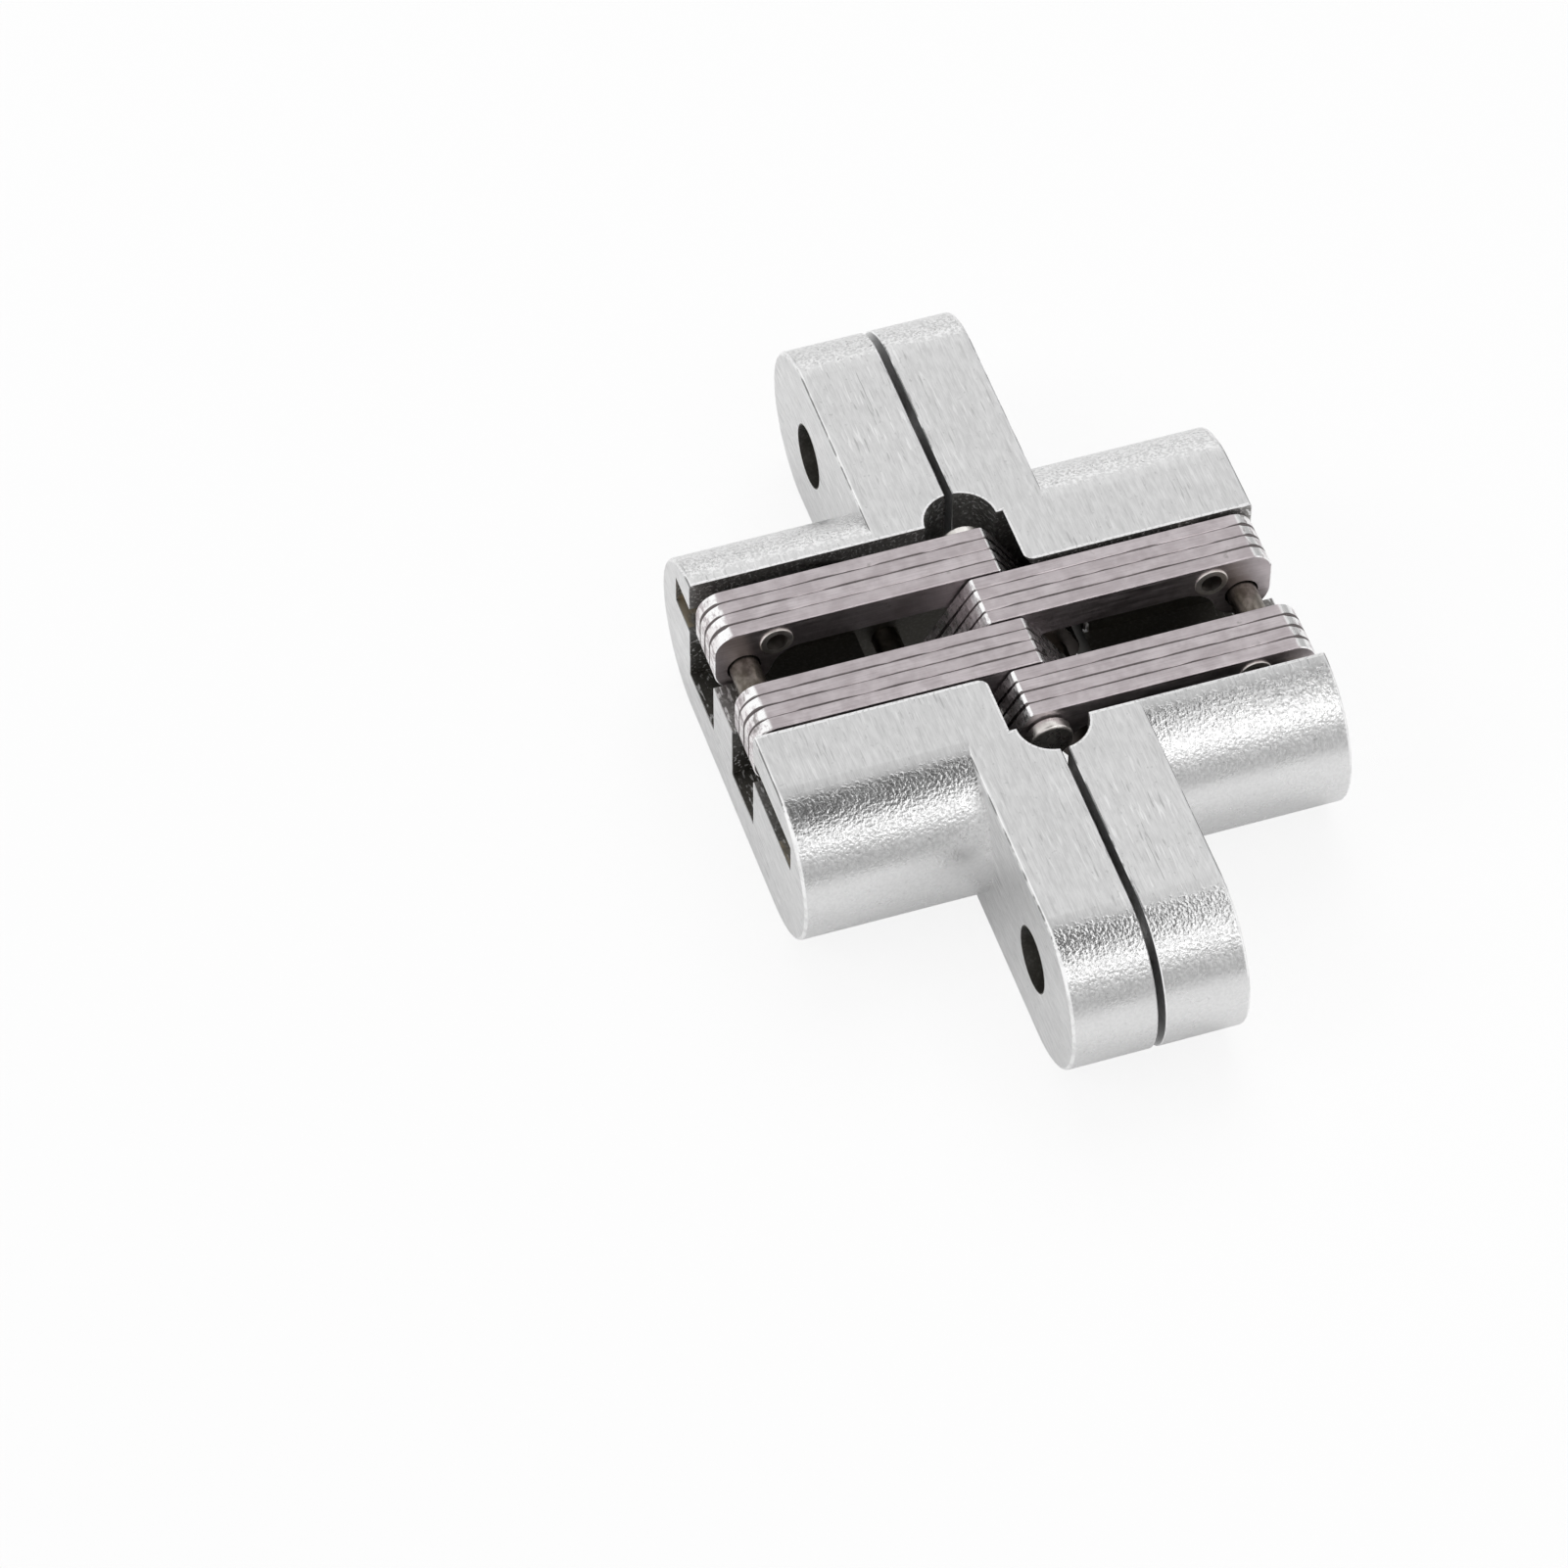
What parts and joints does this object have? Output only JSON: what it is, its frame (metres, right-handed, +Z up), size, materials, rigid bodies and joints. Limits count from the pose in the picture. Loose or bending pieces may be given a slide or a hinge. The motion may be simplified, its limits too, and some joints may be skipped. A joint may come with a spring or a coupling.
{
  "type": "concealed door hinge",
  "caption": "Concealed door hinge: two cast leaves with ears and barrels, joined by crossed stacks of steel link plates that fold into open channels and let the leaves swing a half turn.",
  "frame": {"origin": "middle of the underside, on the gap plane between the two leaves", "axes": "X through both leaves from the left barrel to the right one, Y along the leaf plates, +Z up; the hinge lies closed on its knuckle side"},
  "size_m": [0.0588, 0.095, 0.019],
  "materials": {
    "casting": "satin, zinc casting brushed on its flat faces",
    "link_steel": "rolled sheet",
    "pin_steel": "drawn",
    "rivet_steel": "formed"
  },
  "bodies": {
    "left_leaf_body": {"left_leaf": "casting", "left_pivot_pin": "pin_steel"},
    "right_links": {"right_outer_link_plate_1": "link_steel", "right_outer_link_plate_2": "link_steel", "right_outer_link_plate_3": "link_steel", "right_outer_link_plate_4": "link_steel", "right_inner_link_plate_1": "link_steel", "right_inner_link_plate_2": "link_steel", "right_inner_link_plate_3": "link_steel", "right_inner_link_plate_4": "link_steel", "right_outer_stack_rivet": "rivet_steel", "right_inner_stack_rivet": "rivet_steel", "right_slider_pin": "pin_steel", "centre_pin": "pin_steel"},
    "left_links": {"left_outer_link_plate_1": "link_steel", "left_outer_link_plate_2": "link_steel", "left_outer_link_plate_3": "link_steel", "left_outer_link_plate_4": "link_steel", "left_inner_link_plate_1": "link_steel", "left_inner_link_plate_2": "link_steel", "left_inner_link_plate_3": "link_steel", "left_inner_link_plate_4": "link_steel", "left_outer_stack_rivet": "rivet_steel", "left_inner_stack_rivet": "rivet_steel", "left_slider_pin": "pin_steel"},
    "right_leaf_body": {"right_leaf": "casting", "right_pivot_pin": "pin_steel"}
  },
  "joints": [
    {"name": "left_leaf_pivot", "type": "hinge", "parent": "left_leaf_body", "child": "right_links", "pos_m": [-0.008, 0, 0.0032], "axis": [0, 1, 0], "range_deg": [0, 112.5]},
    {"name": "link_cross", "type": "hinge", "parent": "right_links", "child": "left_links", "pos_m": [0, 0, 0.0156], "axis": [0, 1, 0], "range_deg": [-45, 0]},
    {"name": "right_leaf_pivot", "type": "hinge", "parent": "left_links", "child": "right_leaf_body", "pos_m": [0.008, 0, 0.0032], "axis": [0, 1, 0], "range_deg": [0, 112.5]}
  ],
  "couplings": [
    {"joint": "link_cross", "follows": "left_leaf_pivot", "ratio": -0.4},
    {"joint": "right_leaf_pivot", "follows": "left_leaf_pivot", "ratio": 1}
  ]
}
